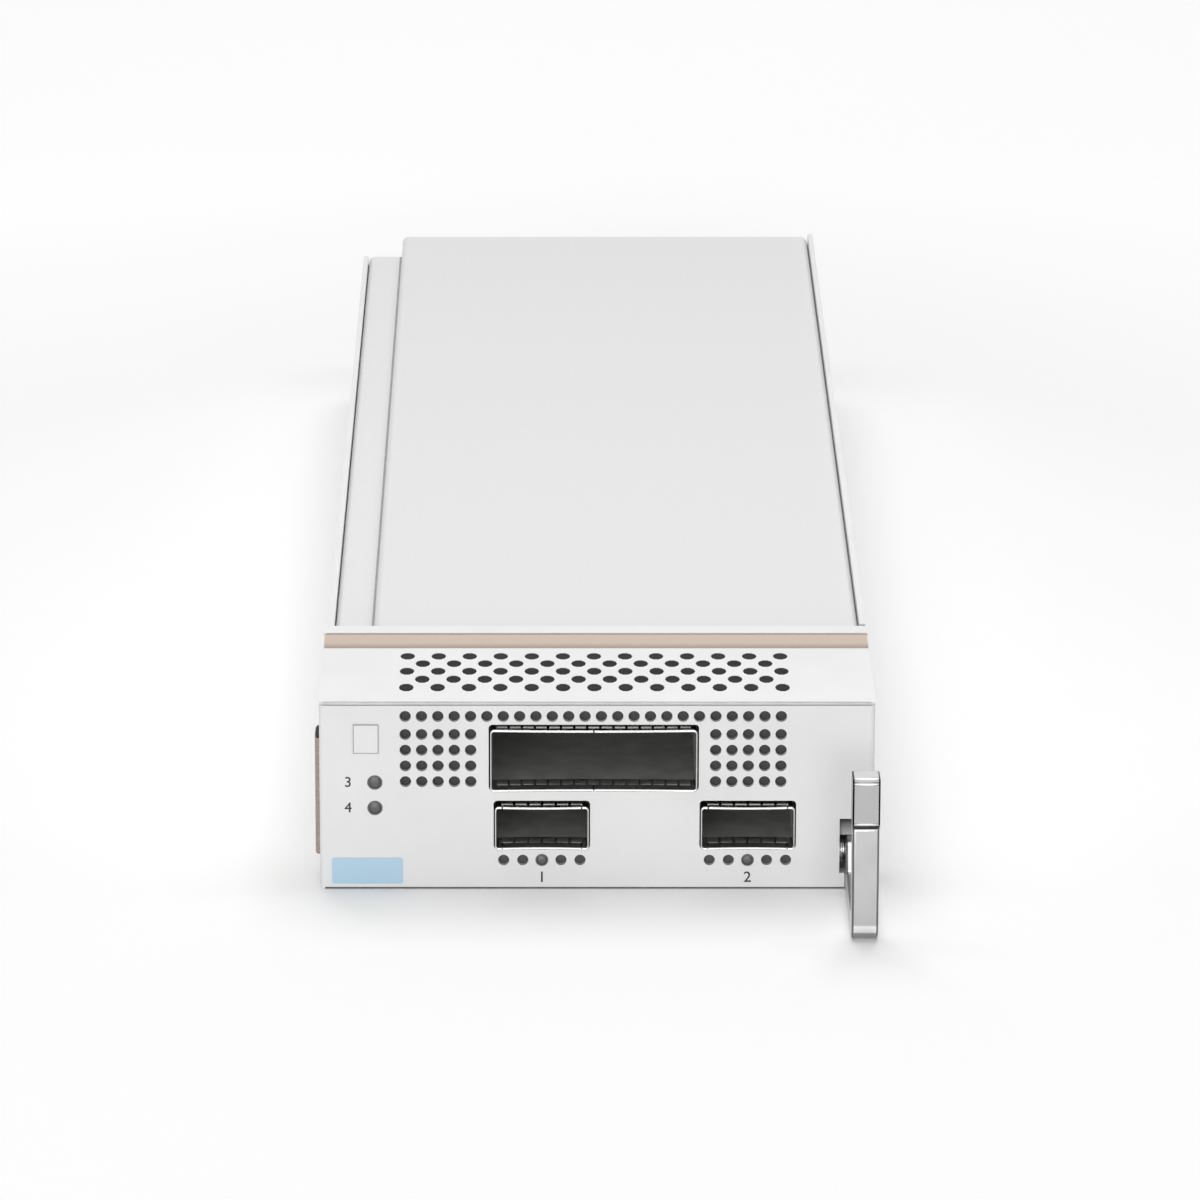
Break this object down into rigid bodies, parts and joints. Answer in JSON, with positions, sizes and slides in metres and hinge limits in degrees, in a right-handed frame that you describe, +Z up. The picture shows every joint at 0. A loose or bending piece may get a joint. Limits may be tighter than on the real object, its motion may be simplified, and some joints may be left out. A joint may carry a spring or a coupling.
{
  "type": "muxponder card",
  "caption": "Long flat sheet-metal plug-in card with a vented white face, one wide and two narrow module ports, a curved vented hood and an ejector lever at the lower right.",
  "frame": {"origin": "on the underside, below the middle of the front section's rear edge, where the body enters the slot", "axes": "+X to the right seen from the front, +Y from the front to the rear connectors, +Z up"},
  "size_m": [0.1171, 0.4308, 0.0435],
  "materials": {
    "white_painted_sheet": "fine white powder coat on steel sheet",
    "coated_steel_sheet": "pale satin coat with faint grain",
    "conductive_fabric": "tan conductive fabric over foam",
    "circuit_board": "green solder mask on glass laminate",
    "zinc_plated_steel": "bright zinc plate",
    "nickel_finger_strip": "nickel plated copper alloy",
    "tinned_cage_steel": "plain stamped sheet",
    "black_moulding": "black glass-filled moulding",
    "lens_polycarbonate": "smoked clear moulding, unlit",
    "blue_plate": "pale blue film, bare",
    "white_plate": "white film, bare",
    "chip_epoxy": "black mould compound",
    "anodised_aluminium": "clear anodised",
    "zinc_die_casting": "satin nickel plate on a zinc casting"
  },
  "bodies": {
    "chassis": {"board_screws": "zinc_plated_steel", "board_standoffs": "zinc_plated_steel", "client_cage_1": "tinned_cage_steel", "client_cage_2": "tinned_cage_steel", "client_light_1": "lens_polycarbonate", "client_light_2": "lens_polycarbonate", "client_port_fingers_1": "nickel_finger_strip", "client_port_fingers_2": "nickel_finger_strip", "client_socket_1": "black_moulding", "client_socket_2": "black_moulding", "cover": "coated_steel_sheet", "faceplate": "white_painted_sheet", "framer": "chip_epoxy", "framer_heat_sink": "anodised_aluminium", "guide_socket_1": "zinc_die_casting", "guide_socket_2": "zinc_die_casting", "hood": "white_painted_sheet", "lever_bracket": "zinc_plated_steel", "line_board": "circuit_board", "line_board_screws": "zinc_plated_steel", "line_board_spacers": "zinc_plated_steel", "line_cage": "tinned_cage_steel", "line_heat_sink": "anodised_aluminium", "line_port_fingers": "nickel_finger_strip", "line_socket": "black_moulding", "link_header": "black_moulding", "link_receptacle": "black_moulding", "main_board": "circuit_board", "memory_chip_1": "chip_epoxy", "memory_chip_2": "chip_epoxy", "memory_chip_3": "chip_epoxy", "memory_chip_4": "chip_epoxy", "name_plate": "blue_plate", "pivot_pin": "zinc_plated_steel", "power_connector": "black_moulding", "power_module": "chip_epoxy", "processor": "chip_epoxy", "processor_heat_sink": "anodised_aluminium", "side_seal": "conductive_fabric", "signal_connector_1": "black_moulding", "signal_connector_2": "black_moulding", "square_plate": "white_plate", "status_light_1": "lens_polycarbonate", "status_light_2": "lens_polycarbonate", "top_seal": "conductive_fabric", "torsion_spring": "zinc_plated_steel", "tray": "white_painted_sheet"},
    "lever": {"lever": "zinc_die_casting", "grip_cap": "zinc_die_casting"}
  },
  "joints": [
    {"name": "lever_pivot", "type": "hinge", "parent": "chassis", "child": "lever", "pos_m": [0.055, -0.0421, 0.0075], "axis": [1, 0, 0], "range_deg": [0, 45], "stiffness_Nm_per_rad": 0.06, "springref_deg": -17.19}
  ]
}
